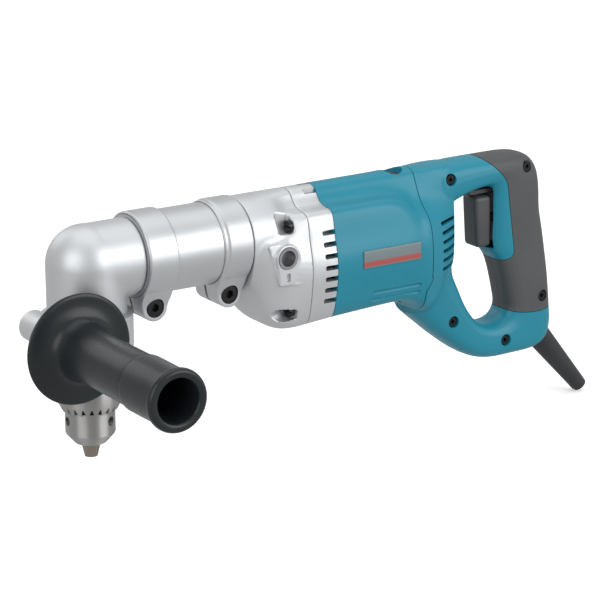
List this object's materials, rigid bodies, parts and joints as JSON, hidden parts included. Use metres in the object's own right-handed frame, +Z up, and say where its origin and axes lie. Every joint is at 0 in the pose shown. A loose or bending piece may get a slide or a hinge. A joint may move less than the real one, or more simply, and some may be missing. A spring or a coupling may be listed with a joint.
{
  "type": "right angle drill",
  "caption": "Corded right angle drill with a key chuck under an elbow head, a guarded side handle, a clamped connecting pipe, a vented motor housing and a D handle with trigger.",
  "frame": {"origin": "centre of the closed chuck jaws at their tips, where a drill bit leaves the tool", "axes": "+X rearward along the motor to the D handle, +Z up along the spindle away from the bit, -Y to the user's left where the side handle stands"},
  "size_m": [0.5222, 0.2145, 0.2105],
  "materials": {
    "cast_metal": "satin cast",
    "pipe_metal": "fine turned",
    "black_steel": "black oxide",
    "chuck_steel": "bright turned",
    "jaw_steel": "ground, warm tint",
    "bearing_steel": "polished",
    "gear_steel": "machined",
    "teal_plastic": "satin moulded",
    "soft_grip": "fine grain",
    "slate_plastic": "soft sheen",
    "black_rubber": "matt",
    "dark_plastic": "matt",
    "plate": "satin, coloured band",
    "brass": "drawn",
    "copper": "bare",
    "lamination": "stacked sheet",
    "carbon": "matt"
  },
  "bodies": {
    "motor_unit": {"connecting_pipe": "pipe_metal", "front_clamp": "pipe_metal", "rear_clamp": "pipe_metal", "clamp_bolts": "black_steel", "gear_housing": "cast_metal", "gear_cover": "cast_metal", "gear_housing_screws": "black_steel", "handle_socket_inserts": "gear_steel", "motor_housing": "teal_plastic", "name_plate": "plate", "handle_left": "teal_plastic", "handle_right": "teal_plastic", "grip_left": "soft_grip", "grip_right": "soft_grip", "handle_screws": "black_steel", "output_front_bearing": "bearing_steel", "output_rear_bearing": "bearing_steel", "countershaft_bushes": "brass", "armature_front_bearing": "bearing_steel", "armature_rear_bearing": "bearing_steel", "field_core": "lamination", "field_coils": "copper", "brush_holders": "brass", "carbon_brushes": "carbon", "brush_caps": "dark_plastic", "switch_body": "dark_plastic", "cord_guard": "black_rubber", "cord_clamp": "dark_plastic"},
    "angle_head": {"angle_head": "cast_metal", "bearing_box": "cast_metal", "bearing_box_screws": "black_steel", "spindle_upper_bearing": "bearing_steel", "spindle_lower_bearing": "bearing_steel", "bearing_retainer": "gear_steel", "spindle_seal": "black_rubber", "pinion_front_bearing": "bearing_steel", "pinion_rear_bearing": "bearing_steel", "side_handle_grip": "slate_plastic", "side_handle_stud": "chuck_steel"},
    "spindle": {"spindle": "chuck_steel", "bevel_gear": "gear_steel", "chuck_body": "chuck_steel"},
    "pinion": {"bevel_pinion_shaft": "gear_steel", "shaft_coupling": "gear_steel"},
    "output": {"output_shaft": "gear_steel", "output_gear": "gear_steel"},
    "countershaft": {"countershaft": "gear_steel", "countershaft_gear": "gear_steel"},
    "armature": {"armature_shaft": "gear_steel", "armature_core": "lamination", "commutator": "copper", "cooling_fan": "dark_plastic"},
    "chuck_sleeve": {"chuck_sleeve": "chuck_steel", "chuck_nut": "chuck_steel"},
    "jaw_1": {"chuck_jaw_1": "jaw_steel"},
    "jaw_2": {"chuck_jaw_2": "jaw_steel"},
    "jaw_3": {"chuck_jaw_3": "jaw_steel"},
    "trigger": {"trigger": "dark_plastic"},
    "reversing_lever": {"reversing_lever": "dark_plastic"}
  },
  "joints": [
    {"name": "head_swivel", "type": "hinge", "parent": "motor_unit", "child": "angle_head", "pos_m": [0, 0, 0.144], "axis": [1, 0, 0], "range_deg": [-180, 180]},
    {"name": "spindle_spin", "type": "hinge", "parent": "angle_head", "child": "spindle", "pos_m": [0, 0, 0.07], "axis": [0, 0, 1], "continuous": true},
    {"name": "pinion_spin", "type": "hinge", "parent": "angle_head", "child": "pinion", "pos_m": [0.04, 0, 0.144], "axis": [1, 0, 0], "continuous": true},
    {"name": "output_spin", "type": "hinge", "parent": "motor_unit", "child": "output", "pos_m": [0.15, 0, 0.144], "axis": [1, 0, 0], "continuous": true},
    {"name": "countershaft_spin", "type": "hinge", "parent": "motor_unit", "child": "countershaft", "pos_m": [0.165, 0.01642, 0.12433], "axis": [1, 0, 0], "continuous": true},
    {"name": "armature_spin", "type": "hinge", "parent": "motor_unit", "child": "armature", "pos_m": [0.23, 0, 0.118], "axis": [1, 0, 0], "continuous": true},
    {"name": "sleeve_turn", "type": "hinge", "parent": "spindle", "child": "chuck_sleeve", "pos_m": [0, 0, 0.046], "axis": [0, 0, 1], "range_deg": [0, 2448]},
    {"name": "jaw_slide_1", "type": "slide", "parent": "spindle", "child": "jaw_1", "axis": [-0.1251, 0.2456, 0.9613], "range_m": [0, 0.017]},
    {"name": "jaw_slide_2", "type": "slide", "parent": "spindle", "child": "jaw_2", "axis": [-0.1501, -0.2312, 0.9613], "range_m": [0, 0.017]},
    {"name": "jaw_slide_3", "type": "slide", "parent": "spindle", "child": "jaw_3", "axis": [0.2753, -0.0144, 0.9613], "range_m": [0, 0.017]},
    {"name": "trigger_pull", "type": "slide", "parent": "motor_unit", "child": "trigger", "axis": [1, 0, 0], "range_m": [0, 0.006], "stiffness_N_per_m": 800, "springref_m": -0.004},
    {"name": "lever_turn", "type": "hinge", "parent": "motor_unit", "child": "reversing_lever", "pos_m": [0.36514, 0, 0.148], "axis": [0, 0, 1], "range_deg": [-8, 8]}
  ],
  "couplings": [
    {"joint": "pinion_spin", "follows": "spindle_spin", "ratio": 1.6667},
    {"joint": "output_spin", "follows": "spindle_spin", "ratio": 1.6667},
    {"joint": "countershaft_spin", "follows": "spindle_spin", "ratio": -4.0278},
    {"joint": "armature_spin", "follows": "spindle_spin", "ratio": 12.083},
    {"joint": "sleeve_turn", "follows": "jaw_slide_1", "rad_per_m": 2513.2},
    {"joint": "jaw_slide_2", "follows": "jaw_slide_1", "ratio": 1},
    {"joint": "jaw_slide_3", "follows": "jaw_slide_1", "ratio": 1}
  ]
}
